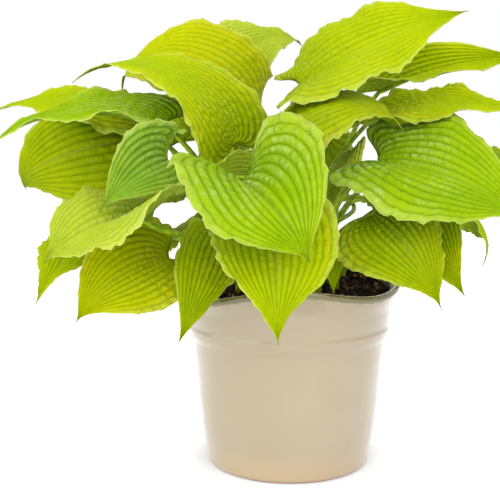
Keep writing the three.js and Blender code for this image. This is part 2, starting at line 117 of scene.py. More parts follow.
# %% Finishes
class Finish:
    """A material with one Principled shader, whose sockets take numbers, colours or links."""

    def __init__(self, name, **constants):
        self.material = bpy.data.materials.new(name)
        self.material.use_nodes = True
        self.tree = self.material.node_tree
        self.shader = self.tree.nodes["Principled BSDF"]
        for socket, value in constants.items():
            self.set(socket.replace("_", " "), value)

    def give(self, target, value):
        if isinstance(value, Socket):
            self.tree.links.new(value.output, target)
        else:
            target.default_value = value

    def set(self, socket, value):
        self.give(self.shader.inputs[socket], value)

    def node(self, kind, settings, sockets, output=0):
        """Any kind of node: first its settings, then its sockets, by name or by number."""
        made = self.tree.nodes.new(kind)
        for name, value in settings.items():
            setattr(made, name, value)
        for name, value in sockets.items():
            self.give(made.inputs[name], value)
        return Socket(self, made.outputs[output])

    def mix(self, share, first, second):
        """The first colour where share is 0, and the second where it is 1."""
        sockets = {0: share, 6: first, 7: second}
        return self.node("ShaderNodeMix", {"data_type": "RGBA"}, sockets, 2)

    def between(self, value, low, high, start=0.0, end=1.0):
        """A smooth step from start to end as value goes from low to high."""
        settings = {"interpolation_type": "SMOOTHSTEP"}
        sockets = {0: value, 1: low, 2: high, 3: start, 4: end}
        return self.node("ShaderNodeMapRange", settings, sockets)

    def attribute(self, name):
        """A value that is stored on the mesh's points."""
        return self.node("ShaderNodeAttribute", {"attribute_name": name}, {}, 2)

    def place(self):
        return self.node("ShaderNodeTexCoord", {}, {}, "Object")

    def grain(self, scale, detail=3.0, place=None):
        """A cloudy pattern from 0 to 1, with features about 1 / scale metres across."""
        sockets = {"Vector": place or self.place(), "Scale": scale, "Detail": detail}
        return self.node("ShaderNodeTexNoise", {}, sockets)

    def mix_in(self, other, share):
        """Mixes a share of another shader into the Principled one."""
        own = Socket(self, self.shader.outputs[0])
        both = self.node("ShaderNodeMixShader", {}, {0: share, 1: own, 2: other})
        self.tree.links.new(both.output, self.tree.nodes["Material Output"].inputs["Surface"])

    def bump(self, height, depth, strength=1.0, under=None):
        """A normal that rises and falls with height, over another bump if one lies under it."""
        sockets = {"Height": height, "Distance": depth, "Strength": strength}
        if under:
            sockets["Normal"] = under
        return self.node("ShaderNodeBump", {}, sockets)


def colour(red, green, blue):
    """A colour as a paint chart gives it, 0 to 255, for a shader."""
    shares = [value / 255 for value in (red, green, blue)]
    linear = [s / 12.92 if s <= 0.04045 else ((s + 0.055) / 1.055) ** 2.4 for s in shares]
    return (*linear, 1.0)


print("mid grey for a shader:", round(colour(128, 128, 128)[0], 3))

# %% [markdown]
# ## Floor
# The plant stands on a white table that glows a little, as a lit table does, which washes out
# the shadows on it. Close to the pot the glow is dimmed, which paints shade round the foot over
# the real shadow there, so that only the shadow round the foot shows. A square plane would do as
# well, but a disc has no corners that could come into view.

# %% Floor
FLOOR_RADIUS = 8.0
FLOOR_SIDES = 96
FLOOR_DROP = 0.0002
FLOOR_SHADE = (0.72, 0.73, 0.76, 1)
FLOOR_GLOW = 0.36
GLOW_IN_PAINTED_SHADE = 0.45
PAINTED_SHADE_INNER_RADIUS, PAINTED_SHADE_OUTER_RADIUS = 0.088, 0.13
BLACK, WHITE = (0, 0, 0, 1), (1, 1, 1, 1)


def floor_finish():
    finish = Finish("floor", Roughness=1.0, Base_Color=FLOOR_SHADE, Specular_IOR_Level=0.0)
    sockets = {0: finish.place()}
    distance = finish.node("ShaderNodeVectorMath", {"operation": "LENGTH"}, sockets, 1)
    # The glow is dimmed near the pot, which paints shade round the foot.
    glow_with_painted_shade = finish.between(distance, PAINTED_SHADE_INNER_RADIUS, PAINTED_SHADE_OUTER_RADIUS, GLOW_IN_PAINTED_SHADE, 1.0)
    finish.set("Emission Color", finish.mix(glow_with_painted_shade, BLACK, WHITE))
    finish.set("Emission Strength", FLOOR_GLOW)
    return finish


def ring(radius, turns, height):
    """Points at a radius and a height for every turn, an angle round the upright axis."""
    x, y, z = np.broadcast_arrays(radius * np.cos(turns), radius * np.sin(turns), height)
    return np.stack([x, y, z], -1)


def full_turn(sides):
    return np.linspace(0, 2 * np.pi, sides, endpoint=False)


floor_mesh = bpy.data.meshes.new("floor")
floor_edge = ring(FLOOR_RADIUS, full_turn(FLOOR_SIDES), -FLOOR_DROP)
floor_mesh.from_pydata(floor_edge.tolist(), [], [list(range(FLOOR_SIDES))])
floor_mesh.materials.append(floor_finish().material)
floor = bpy.data.objects.new("floor", floor_mesh)
bpy.context.collection.objects.link(floor)
print("floor radius:", FLOOR_RADIUS)

# %% [markdown]
# ## Light
# White light comes from all round, as in a tent. A large lamp stands over the shoulder of whoever
# looks at the plant, and weaker ones at the left, behind and above. All are large and soft,
# because small ones would show as hard white spots in the glaze.

# %% Lamps
PLANT_MIDDLE = (0, 0, 0.32)
LAMPS = {  # place, size in metres, power in watts
    "key": ((0.25, -1.5, 1.15), 2.0, 31),
    "left": ((-1.5, -0.8, 0.6), 2.2, 20),
    "back": ((0.3, 1.6, 1.0), 2.0, 12),
    "top": ((0.0, 0.1, 1.9), 1.2, 7),
}


def soft_lamp(name, place, size, power):
    """A square lamp that faces the middle of the plant."""
    lamp = bpy.data.objects.new(name, bpy.data.lights.new(name, "AREA"))
    lamp.data.size = size
    lamp.data.energy = power
    lamp.location = place
    way = np.array(PLANT_MIDDLE) - np.array(place)
    turn = math.atan2(way[1], way[0]) - math.pi / 2
    dip = math.atan2(way[2], math.hypot(way[0], way[1]))
    lamp.rotation_euler = (math.pi / 2 + dip, 0, turn)
    bpy.context.collection.objects.link(lamp)


world = bpy.data.worlds.new("studio")
world.use_nodes = True
world.node_tree.nodes["Background"].inputs["Color"].default_value = WHITE
scene.world = world
for lamp_name, sizes in LAMPS.items():
    soft_lamp(lamp_name, *sizes)
print("lamps:", list(LAMPS))

# %% [markdown]
# ## The leaves
# One entry for each leaf, with the same sizes as its solid, in millimetres and degrees. After its
# name and its tone come three places: where its stalk leaves the soil, as an angle round the pot
# from +X and a radius, and the base and the tip of its midrib. `arch` is the midrib's rise over
# the straight line between these two and `width` the blade's full width. `roll` leans the blade
# about that line, `twist` turns the tip against the base and `fold` lifts both halves like a V.
# `curl` bends the left and the right half, minus for down, and `flare` bends them more at the
# base. `wave` ripples the edge: a height, a number of waves and where they start. `lobe` is how
# far the heart's lobes reach back, as a share of the length. `small` leaves get fewer points.

# %% Leaf
MM = 1000  # in a metre


class Leaf:
    """One leaf, with the table's sizes turned into metres and radians."""

    def __init__(self, name, tone, root, base, tip, arch, width, roll, twist, fold,
                 curl, wave, lobe=0.24, flare=(0, 0), small=False):
        self.name, self.tone, self.lobe = name, tone, lobe
        self.root = math.radians(root[0]), root[1] / MM
        self.base, self.tip = np.array(base) / MM, np.array(tip) / MM
        self.arch, self.width = arch / MM, width / MM
        self.wave = wave[0] / MM, wave[1], wave[2]
        self.roll, self.twist, self.fold = np.radians((roll, twist, fold))
        self.curl, self.flare = np.radians(curl), np.radians(flare)
        self.veins = 6 if small else 8
        self.rows, self.half_columns = (56, 30) if small else (80, 40)


# %% Leaf table
LEAVES = [
    Leaf("front_centre", "fresh", (274, 39), (-45, -190, 330), (20, -230, 260), arch=15, width=170,
         roll=30, twist=60, fold=40, curl=(10, -40), wave=(4, 3, 0.3), lobe=0.3, flare=(40, 0)),
    Leaf("right_large", "fresh", (303, 44), (90, -65, 340), (245, -95, 280), arch=15, width=200,
         roll=23, twist=45, fold=17, curl=(5, -45), wave=(5, 3, 0.6)),
    Leaf("top_right", "bright", (17, 32), (10, -5, 418), (190, 0, 496), arch=12, width=178,
         roll=30, twist=45, fold=15, curl=(-25, -15), wave=(5, 3, 0.9), lobe=0.2),
    Leaf("far_right_top", "bright", (349, 45), (105, 130, 410), (280, 110, 450), arch=15, width=75,
         roll=45, twist=75, fold=35, curl=(25, 20), wave=(6, 2.5, 0.8), lobe=0.16, small=True),
    Leaf("right_rear", "bright", (86, 35), (95, 50, 385), (255, -35, 390), arch=10, width=105,
         roll=10, twist=25, fold=10, curl=(25, -35), wave=(6, 3, 0.2), lobe=0.2),
    Leaf("centre_dome", "deep", (15, 20), (-15, -80, 362), (120, -45, 368), arch=40, width=155,
         roll=10, twist=25, fold=5, curl=(-20, -40), wave=(3, 3, 0.5), lobe=0.2),
    Leaf("top_left", "golden", (149, 41), (-45, 65, 365), (-195, 95, 400), arch=90, width=175,
         roll=-40, twist=-10, fold=0, curl=(10, -5), wave=(4, 3, 0.4)),
    Leaf("folded", "bright", (127, 35), (-60, -35, 355), (-230, -35, 420), arch=55, width=120,
         roll=-25, twist=45, fold=0, curl=(-10, 10), wave=(3, 2.5, 0.7), lobe=0.18, flare=(0, 60)),
    Leaf("left_long", "fresh", (166, 53), (-125, -75, 380), (-320, -60, 350), arch=30, width=75,
         roll=-25, twist=10, fold=10, curl=(10, -5), wave=(6, 3, 0.8), lobe=0.16, flare=(60, 60)),
    Leaf("left_rear", "bright", (221, 29), (-160, 15, 380), (-340, 30, 385), arch=20, width=110,
         roll=-12, twist=-10, fold=10, curl=(-40, -5), wave=(5, 3, 0.4), lobe=0.2),
    Leaf("left_round", "deep", (206, 60), (-160, 15, 355), (-300, 40, 300), arch=60, width=160,
         roll=-75, twist=-55, fold=0, curl=(-10, -45), wave=(3, 2, 0.9)),
    Leaf("left_curled", "blue", (204, 37), (-120, -120, 345), (-180, -180, 300), arch=15, width=85,
         roll=-40, twist=30, fold=25, curl=(-55, 35), wave=(4, 2, 0.9), lobe=0.2, flare=(0, 60),
         small=True),
    Leaf("left_low", "pale", (22, 53), (-140, -145, 290), (-235, -175, 250), arch=15, width=175,
         roll=-20, twist=-45, fold=35, curl=(-30, -60), wave=(5, 3, 0), flare=(90, 0)),
    Leaf("front_left_low", "golden", (245, 53), (-120, -110, 245), (-215, -125, 180), arch=20,
         width=125, roll=-35, twist=-55, fold=15, curl=(-60, 30), wave=(3, 2.5, 0.4)),
    Leaf("far_left_low", "bright", (184, 55), (-220, -45, 260), (-255, -125, 200), arch=5,
         width=85, roll=-5, twist=40, fold=25, curl=(-40, -70), wave=(4, 2, 0.4), small=True),
    Leaf("front_left", "deep", (258, 49), (-70, -130, 275), (-105, -195, 175), arch=15, width=75,
         roll=-40, twist=-20, fold=5, curl=(-75, -45), wave=(3, 2, 0.1), lobe=0.2, small=True),
    Leaf("front_low", "bright", (277, 52), (-15, -165, 285), (-10, -205, 180), arch=20, width=125,
         roll=5, twist=-80, fold=10, curl=(-15, 30), wave=(4, 2.5, 0.5), lobe=0.2),
    Leaf("front_right_narrow", "bright", (301, 59), (35, -65, 275), (45, -110, 205), arch=10,
         width=40, roll=-5, twist=35, fold=0, curl=(-45, -25), wave=(2, 2, 0.6), lobe=0.2,
         small=True),
    Leaf("front_right", "deep", (335, 38), (85, -105, 290), (150, -140, 200), arch=15, width=125,
         roll=35, twist=-15, fold=10, curl=(-35, -45), wave=(4, 2.5, 0), lobe=0.12),
    Leaf("right_low", "bright", (336, 55), (125, -10, 290), (175, -135, 210), arch=5, width=90,
         roll=25, twist=5, fold=15, curl=(-45, 20), wave=(4, 2.5, 0.6)),
    Leaf("top_rear", "pale", (255, 30), (-80, 190, 420), (15, 205, 465), arch=40, width=130,
         roll=45, twist=-40, fold=25, curl=(-45, -60), wave=(6, 3, 0.4)),
    Leaf("centre_twisted", "pale", (291, 27), (65, -55, 350), (40, -125, 285), arch=5, width=40,
         roll=40, twist=-20, fold=10, curl=(-40, 20), wave=(4, 2, 0.7), lobe=0.2, small=True),
    Leaf("right_hidden", "bright", (36, 51), (170, 40, 335), (265, 75, 320), arch=15, width=70,
         roll=-20, twist=0, fold=10, curl=(20, -15), wave=(4, 2, 0.8), small=True),
    Leaf("left_inner", "deep", (353, 8), (-35, -85, 325), (-80, -110, 295), arch=20, width=65,
         roll=40, twist=15, fold=40, curl=(-25, -40), wave=(3, 2, 0.3), small=True),
    Leaf("back_right_low", "bright", (54, 55), (130, 155, 240), (125, 195, 160), arch=40,
         width=135, roll=-60, twist=-20, fold=5, curl=(-25, 5), wave=(4, 3, 0.7), small=True),
    Leaf("back_low", "bright", (73, 61), (75, 200, 275), (35, 200, 155), arch=55, width=95,
         roll=-30, twist=30, fold=35, curl=(-20, -30), wave=(4, 3, 0.7), small=True),
    Leaf("back_left_low", "bright", (102, 52), (-95, 115, 270), (-80, 235, 245), arch=15,
         width=150, roll=-50, twist=20, fold=10, curl=(15, 0), wave=(4, 3, 0.9), small=True),
    Leaf("back_left_side", "bright", (127, 61), (-140, 80, 300), (-185, 100, 150), arch=40,
         width=130, roll=0, twist=25, fold=10, curl=(-10, 0), wave=(4, 3, 0.1), small=True),
    Leaf("back_right", "bright", (25, 36), (130, 105, 340), (195, 200, 310), arch=35, width=140,
         roll=60, twist=35, fold=0, curl=(0, -15), wave=(5, 3, 0.5), small=True),
    Leaf("back_left", "bright", (134, 51), (-140, 90, 345), (-160, 215, 290), arch=45, width=105,
         roll=-40, twist=5, fold=20, curl=(5, -40), wave=(5, 3, 0.4), small=True),
    Leaf("back_centre", "bright", (75, 47), (50, 145, 360), (5, 205, 340), arch=50, width=115,
         roll=85, twist=-20, fold=10, curl=(-70, -45), wave=(5, 3, 1), small=True),
    Leaf("side_right_low", "bright", (12, 60), (158, 80, 270), (218, 30, 215), arch=35, width=105,
         roll=-30, twist=-10, fold=0, curl=(-45, -40), wave=(4, 3, 0.5), small=True),
]
lengths = [float(np.linalg.norm(leaf.tip - leaf.base)) for leaf in LEAVES]
print("leaves:", len(LEAVES), "longest, tip to base:", round(max(lengths), 3))

# %% [markdown]
# ## The form of a blade
# A blade is a sheet drawn over a bent midrib. Two numbers place each point: `vein` runs from the
# base to the tip, and `side` from -1 at the left edge to 1 at the right one. All veins start at
# the base, fan out round the heart's lobes and meet again at the tip, so a line of constant side
# is a vein. A subdivided plane with a displacement texture could give waves too, but not ribs
# that follow the veins. So the sheet is worked out point by point, in whole arrays, which is
# quick. The midrib is part of a circle over the straight line from base to tip.

# %% Midrib
TWIST_FROM = 0.35


def unit(vectors):
    return vectors / np.linalg.norm(vectors, axis=-1, keepdims=True)


def column(values):
    """One number for each point, ready to multiply its x, y and z."""
    return np.asarray(values)[..., None]


def midrib_frame(leaf, along):
    """Points on the midrib, with the ways forward, up out of the blade and to its right."""
    chord = leaf.tip - leaf.base
    length = np.linalg.norm(chord)
    chord = chord / length
    up = unit(np.array([0, 0, 1]) - chord[2] * chord)
    up = up * math.cos(leaf.roll) + np.cross(chord, up) * math.sin(leaf.roll)
    sweep = 2 * math.atan(2 * leaf.arch / length)
    radius = length / (2 * math.sin(sweep))
    inside = np.maximum(along, 0)
    angle = sweep * (2 * inside - 1)
    sine, cosine = column(np.sin(angle)), column(np.cos(angle))
    forward = chord * cosine - up * sine
    normal = up * cosine + chord * sine
    turn = column(leaf.twist * (inside - TWIST_FROM))
    normal = normal * np.cos(turn) + np.cross(forward, normal) * np.sin(turn)
    rise = up * radius * (cosine - math.cos(sweep))
    point = leaf.base + chord * (length / 2 + radius * sine) + rise
    point = point + forward * column(np.minimum(along, 0) * 2 * radius * sweep)
    return point, forward, normal, np.cross(forward, normal)


print("middle of the first midrib:", midrib_frame(LEAVES[0], np.array([0.5]))[0].round(3))

# %% [markdown]
# ## The heart shape and its folds
# Laid flat, the real blade is a heart with a long drip tip. The outline says how far along the
# midrib and how far out a point of a vein lies. The sheet then rises from the midrib in a V and
# bends on in an arc, by its curl.

# %% Smooth sheet
VEIN_START = 1e-6
VEIN_PACE = 1.15
LOBE_PEAK = 0.12
SHOULDER = 0.55
TAPER = 0.3
DRIP_TIP = 0.6
FOLD_EASE = 0.5
FLARE_FADE = 4
LEAST_CURL = 0.001


def swell(vein, lean):
    """0 at the base and at the tip, and 1 between them, nearer the base for a smaller lean."""
    return np.sin(np.pi * vein**lean)


def outline(leaf, vein, side, wobble):
    """How far along the midrib a point lies, and how far out, both as shares."""
    back = (vein / LOBE_PEAK) * np.exp(1 - vein / LOBE_PEAK)
    along = vein**VEIN_PACE - leaf.lobe * back * side**2
    rounded = np.maximum(swell(vein, SHOULDER), 0) ** (1 + DRIP_TIP * vein**4)
    across = np.abs(side) * rounded * (1 - TAPER * vein**5)
    return along, across * (1 + wobble)


def smooth_sheet(leaf, vein, side, wobble):
    """The folded and curled sheet, still without ribs, and its normals."""
    along, across = outline(leaf, vein, side, wobble)
    point, _, normal, right = midrib_frame(leaf, along)
    hand, on_right = np.sign(side), side >= 0
    fold = leaf.fold * (1 - FOLD_EASE * vein)
    curl = np.where(on_right, leaf.curl[1], leaf.curl[0])
    curl = curl + np.where(on_right, leaf.flare[1], leaf.flare[0]) * (1 - vein) ** FLARE_FADE
    curl = np.where(np.abs(curl) < LEAST_CURL, LEAST_CURL, curl)
    slope = fold + curl * across
    half = leaf.width / 2
    point = point + right * column(hand * half * (np.sin(slope) - np.sin(fold)) / curl)
    point = point + normal * column(half * (np.cos(fold) - np.cos(slope)) / curl)
    return point, normal * column(np.cos(slope)) - right * column(hand * np.sin(slope))


print("first leaf's lobe, along and across:", np.round(outline(LEAVES[0], LOBE_PEAK, 1.0, 0.0), 3))

# %% [markdown]
# ## Ribs, puckers and ripples
# On the real leaf the tissue grows faster than the veins that hold it, so it swells between them
# in ribs, puckers across them near the base and ripples along the free edge. Each of these lifts
# the sheet along its own normal. The starts of the waves come from a generator that is seeded
# with the leaf's place in the table, so a rerun gives the same plant.

# %% Ribs and the wave of the edge
RIB_HEIGHT = 0.0024
RIB_SINK = 0.7
RIB_SHARPNESS = 0.75
RIB_LEAN, RIB_EVENNESS = 0.6, 0.7
RIB_FADE = 0.5
WAVE_EDGE, WAVE_LEAN = 3, 0.7
WAVE_OFFSET = 0.37


def sine_wave(turns):
    return np.sin(2 * np.pi * turns)


def edge_wave(leaf, vein, side):
    """The slow wave of the table, which grows towards the edge."""
    height, count, start = leaf.wave
    turns = count * vein + start + np.where(side >= 0, 0, WAVE_OFFSET)
    return height * np.abs(side) ** WAVE_EDGE * swell(vein, WAVE_LEAN) * sine_wave(turns)


def crests(leaf, side):
    """1 on top of each rib and 0 in the groove over each vein."""
    return np.abs(np.sin(np.pi * leaf.veins * side)) ** RIB_SHARPNESS


def fullness(vein):
    return swell(vein, RIB_LEAN) ** RIB_EVENNESS


def ribs(leaf, vein, side):
    fade = 1 - RIB_FADE * np.abs(side) ** 3
    return RIB_HEIGHT * (crests(leaf, side) - RIB_SINK) * fullness(vein) * fade


print("ribs on a large leaf:", 2 * LEAVES[0].veins)

# %% Puckers
PUCKER_HEIGHT = 0.0010
PUCKER_PACE = 0.8
COARSE_PUCKERS, FINE_PUCKERS = 15, 22.5
FINE_SHARE, FINE_SHIFT = 0.6, 3
PUCKER_EDGE = 1.5
PUCKER_REACH = 0.5
PATCH_LEVEL, PATCH_SWING = 0.6, 0.7
PATCHES_ALONG, PATCH_SHIFT = 2.3, 5.1
PATCHES_ACROSS, PATCH_TURN = 1.9, 4
JUST_UNDER = 0.9999


def puckers(leaf, vein, side, starts):
    """Small folds across each rib, which start at a place of their own and come in patches."""
    own_rib = np.floor(np.abs(side) * leaf.veins * JUST_UNDER).astype(int)
    start = starts[own_rib + np.where(side >= 0, 0, leaf.veins)]
    pace = vein**PUCKER_PACE
    folds = sine_wave(COARSE_PUCKERS * pace + start)
    folds = folds + FINE_SHARE * sine_wave(FINE_PUCKERS * pace + FINE_SHIFT * start)
    along = sine_wave(PATCHES_ALONG * vein + PATCH_SHIFT * start)
    across = np.sin(2 * np.pi * PATCHES_ACROSS * side + PATCH_TURN * start)
    patch = PATCH_LEVEL + PATCH_SWING * along * across
    near_base = np.exp(-((vein / PUCKER_REACH) ** 2))
    middle = crests(leaf, side) ** PUCKER_EDGE
    return PUCKER_HEIGHT * folds * patch * middle * fullness(vein) * near_base


print("pucker height:", PUCKER_HEIGHT)

# %% Ripples and the finished sheet
RIPPLES = ((6.3, 0.8), (11.7, 0.6), (19.1, 0.4), (27.7, 0.2))
RIPPLE_HEIGHT = 0.0028
RIPPLE_EDGE = 9
RIPPLE_WIDTH = 0.12
WOBBLE_SHARE = 0.013
WOBBLE_EDGE = 4


def ripples(vein, starts):
    return sum(s * sine_wave(count * vein + start) for (count, s), start in zip(RIPPLES, starts))


def blade_surface(leaf, vein, side, seed):
    """Points in the middle of the blade's thickness, with the sheet's normals."""
    draw = np.random.default_rng(seed)
    right_starts, left_starts = draw.random((2, len(RIPPLES)))
    pucker_starts = draw.random(2 * leaf.veins)
    one, other = ripples(vein, right_starts), ripples(vein, left_starts)
    ripple, wobble = np.where(side >= 0, (one, other), (other, one))
    edge = np.abs(side)
    point, normal = smooth_sheet(leaf, vein, side, WOBBLE_SHARE * wobble * edge**WOBBLE_EDGE)
    share = min(1, leaf.width / RIPPLE_WIDTH)
    ruffle = RIPPLE_HEIGHT * share * ripple * edge**RIPPLE_EDGE * swell(vein, RIB_LEAN)
    lift = edge_wave(leaf, vein, side) + ribs(leaf, vein, side)
    lift = lift + puckers(leaf, vein, side, pucker_starts) + ruffle
    return point + normal * column(lift), normal


print("ripples along an edge:", [count for count, _ in RIPPLES])

# %% [markdown]
# ## A closed blade
# The sheet becomes a body by pushing it out to both sides by half its thickness and joining the
# two faces round the edge. The thickness runs out towards the edge, as on the real leaf. A
# Solidify modifier would keep it the same all over. Four values stay on the points for the
# finish: how far each is from the midrib, whether it lies on the underside, and its place across
# and along the ribs.

# %% Blade mesh
BLADE_THICK = 0.0009
EDGE_THICK = 0.0004
THICK_HOLD = 6
ROW_PACE = 1.35


def sheet_faces(grid, tip):
    """Faces of one side of a blade: a grid of points, with a fan at the base and at the tip."""
    corners = [grid[:-1, :-1], grid[:-1, 1:], grid[1:, 1:], grid[1:, :-1]]
    faces = np.stack(corners, -1).reshape(-1, 4).tolist()
    faces += [[0, b, a] for a, b in zip(grid[0].tolist(), grid[0, 1:].tolist())]
    return faces + [[tip, a, b] for a, b in zip(grid[-1].tolist(), grid[-1, 1:].tolist())]


def blade_mesh(leaf, seed):
    """Points, faces and the values that the finish reads, for one closed blade."""
    columns = 2 * leaf.half_columns + 1
    vein = np.repeat((np.arange(1, leaf.rows) / leaf.rows) ** ROW_PACE, columns)
    side = np.tile(np.linspace(-1, 1, columns), leaf.rows - 1)
    vein = np.concatenate([[VEIN_START], vein, [1.0]])
    side = np.concatenate([[0.0], side, [0.0]])
    sheet, normal = blade_surface(leaf, vein, side, seed)
    count = len(sheet)
    tip = count - 1
    grid = np.arange(1, tip).reshape(leaf.rows - 1, columns)
    upper = sheet_faces(grid, tip)
    lower = [[i + count for i in reversed(face)] for face in upper]
    rim = [0, *grid[:, -1].tolist(), tip, *grid[::-1, 0].tolist()]
    wall = [[b, a, a + count, b + count] for a, b in zip(rim, rim[1:] + rim[:1])]
    thick = EDGE_THICK + (BLADE_THICK - EDGE_THICK) * (1 - np.abs(side) ** THICK_HOLD)
    push = normal * column(thick) / 2
    values = {
        "margin": np.tile(np.abs(side), 2),
        "under": np.repeat([0.0, 1.0], count),
        "rib": np.tile(side * leaf.veins, 2),
        "vein": np.tile(vein, 2),
    }
    return np.concatenate([sheet + push, sheet - push]), upper + lower + wall, values


print("faces of a large blade:", len(blade_mesh(LEAVES[0], 0)[1]))

# %% [markdown]
# ## The stalk
# A hosta's stalk is a deep channel that rises from the crown, bends over to the blade and runs on
# under it as the midrib. It could be a curve with a bevel, but a bevel has the same section all
# along. Here it is rings of points, so that it tapers and its channel closes where it meets the
# blade.

# %% Stalk path
FOOT_HEIGHT = 0.188
COLLAR_HEIGHT = 0.208
STALK_FOOT, STALK_BLADE = 0.0045, 0.0026
STALK_STEPS = 26
LEAN_OUT, LEAN_LENGTH = 0.35, 0.06
BEND_LOW, BEND_HIGH = 0.4, 0.3
MEET_RISE = 0.6
MIDRIB_RADII = ((0, STALK_BLADE), (0.08, 0.0023), (0.36, 0.0012), (0.62, 0.0005))
MIDRIB_STATIONS = (0.03, 0.3, 0.62)
MIDRIB_STEPS = 13


def stalk_path(leaf, seed):
    """Points along the stalk and on under the midrib, a radius for each, and the upper side."""
    turn, radius = leaf.root
    foot, collar = ring(radius, turn, FOOT_HEIGHT), ring(radius, turn, COLLAR_HEIGHT)
    base, facing = blade_surface(leaf, np.array([VEIN_START]), np.array([0.0]), seed)
    end = base[0] - facing[0] * STALK_BLADE
    reach = np.linalg.norm(end - collar)
    outwards = (leaf.base - foot) * [1, 1, 0]
    leave = unit(outwards * LEAN_OUT / max(LEAN_LENGTH, reach) + [0, 0, 1])
    arrive = unit(midrib_frame(leaf, np.zeros(1))[1][0] + [0, 0, MEET_RISE])
    first, second = collar + leave * BEND_LOW * reach, end - arrive * BEND_HIGH * reach
    step = column(np.linspace(0, 1, STALK_STEPS))
    bend = (1 - step) ** 3 * collar + 3 * step * (1 - step) ** 2 * first
    bend = bend + 3 * step**2 * (1 - step) * second + step**3 * end
    along = np.interp(np.linspace(0, 2, MIDRIB_STEPS), range(3), MIDRIB_STATIONS)
    thin = np.interp(along, *zip(*MIDRIB_RADII))
    sheet, out = blade_surface(leaf, along ** (1 / VEIN_PACE), np.zeros(MIDRIB_STEPS), seed)
    path = np.concatenate([[foot], bend, sheet - out * column(thin)])
    radii = np.linspace(STALK_FOOT, STALK_BLADE, STALK_STEPS)
    return path, np.concatenate([[STALK_FOOT], radii, thin]), facing[0]


first_steps = np.diff(stalk_path(LEAVES[0], 0)[0], axis=0)
print("length of the first stalk:", np.linalg.norm(first_steps, axis=1).sum().round(3))

# %% Stalk mesh
STALK_SIDES = 18
CHANNEL_DEPTH = 0.45
CHANNEL_WIDTH = 0.6
CHANNEL_CLOSED = MIDRIB_STEPS + 2


def tube_faces(rings, sides, flip=False):
    """Quads between rings of points, and a fan at each end to a middle point after the rings."""
    middle = rings * sides
    last = middle - sides
    faces = []
    for side in range(sides):
        after = (side + 1) % sides
        for low in range(0, last, sides):
            high = low + sides
            faces.append((low + side, high + side, high + after, low + after))
        faces.append((middle, side, after))
        faces.append((middle + 1, last + after, last + side))
    return [(face[0], *face[:0:-1]) for face in faces] if flip else faces


def stalk_mesh(leaf, seed):
    """Points and faces of a closed stalk with a channel along its upper side."""
    path, radii, way = stalk_path(leaf, seed)
    forward = unit(np.gradient(path, axis=0))
    up = np.zeros_like(path)
    for i in reversed(range(len(path))):
        way = unit(way - forward[i] * (way @ forward[i]))
        up[i] = way
    right = np.cross(forward, up)
    turns = full_turn(STALK_SIDES)
    from_top = np.abs((turns + np.pi) % (2 * np.pi) - np.pi)
    open_share = np.ones(len(path))
    open_share[-CHANNEL_CLOSED:] = 0
    dip = CHANNEL_DEPTH * column(open_share) * np.exp(-((from_top / CHANNEL_WIDTH) ** 2))
    radius = column(radii) * (1 - dip)
    points = path[:, None] + column(radius * np.cos(turns)) * up[:, None]
    points = points + column(radius * np.sin(turns)) * right[:, None]
    points = np.concatenate([points.reshape(-1, 3), path[:1], path[-1:]])
    return points, tube_faces(len(path), STALK_SIDES)


print("faces of a stalk:", len(stalk_mesh(LEAVES[0], 0)[1]))

# %% [markdown]
# ## Putting a mesh in the scene
# Every piece goes in the same way: its points and faces, the values that its finish reads, its
# finishes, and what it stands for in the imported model. One function does it, so that no piece
# can miss a step.


# %% Mesh piece
def add_piece(name, points, faces, finishes, node, values, finish_of=None, smooth=True):
    """One piece of the plant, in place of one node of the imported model."""
    mesh = bpy.data.meshes.new(name)
    mesh.from_pydata(points.tolist(), [], faces)
    for label, numbers in values.items():
        stored = mesh.attributes.new(label, "FLOAT", "POINT")
        stored.data.foreach_set("value", numbers.astype(np.float32))
    for finish in finishes:
        mesh.materials.append(finish.material)
    if finish_of is not None:
        mesh.polygons.foreach_set("material_index", finish_of)
    mesh.polygons.foreach_set("use_smooth", [smooth] * len(mesh.polygons))
    mesh.update()
    piece = bpy.data.objects.new(name, mesh)
    bpy.context.collection.objects.link(piece)
    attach(piece, "root")
    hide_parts(node)


# %% [markdown]
# ## Leaf finish
# A living leaf is waxy on top and lets light through, so a Principled shader is mixed with a
# little Translucent one. The colour is darkened in the grooves over the veins and at the base
# with painted shade, palest at the very edge, and drifts between green and yellow in soft
# patches. A pale bloom lies on the ribs near the base, broken up by small wrinkles, and on the
# rib tops it is partly a painted sheen. The underside is paler. Patterns that follow the veins
# fit every leaf alike, which an image would not.

# %% Leaf colours
TONES = {  # ribs, painted shade in the grooves and the blotches' colour, sunny patches, and how strong the bloom with its painted sheen is
    "bright": ((162, 184, 0), (98, 132, 0), (182, 192, 0), 0.15),
    "golden": ((172, 184, 0), (112, 134, 0), (190, 192, 0), 0.1),
    "fresh": ((138, 172, 4), (68, 110, 0), (162, 188, 6), 0.75),
    "pale": ((166, 184, 44), (104, 136, 16), (182, 194, 58), 0.6),
    "deep": ((144, 166, 0), (84, 114, 0), (170, 182, 0), 0.15),
    "blue": ((120, 160, 40), (70, 112, 18), (150, 180, 48), 0.6),
}
MARGIN = colour(208, 220, 120)
# The pale waxy bloom, which on the rib tops is partly a painted sheen.
BLOOM_AND_SHEEN = colour(190, 212, 128)
UNDERSIDE = colour(156, 182, 60)
print("tones:", list(TONES))

# %% Leaf finish
PATCHES, BLOOM_AND_SHEEN_PATCHES, BLOTCHES, SPECKLES, SKIN = 22.0, 34.0, 170.0, 900.0, 1400.0
CLOUDY = (0.35, 0.65)
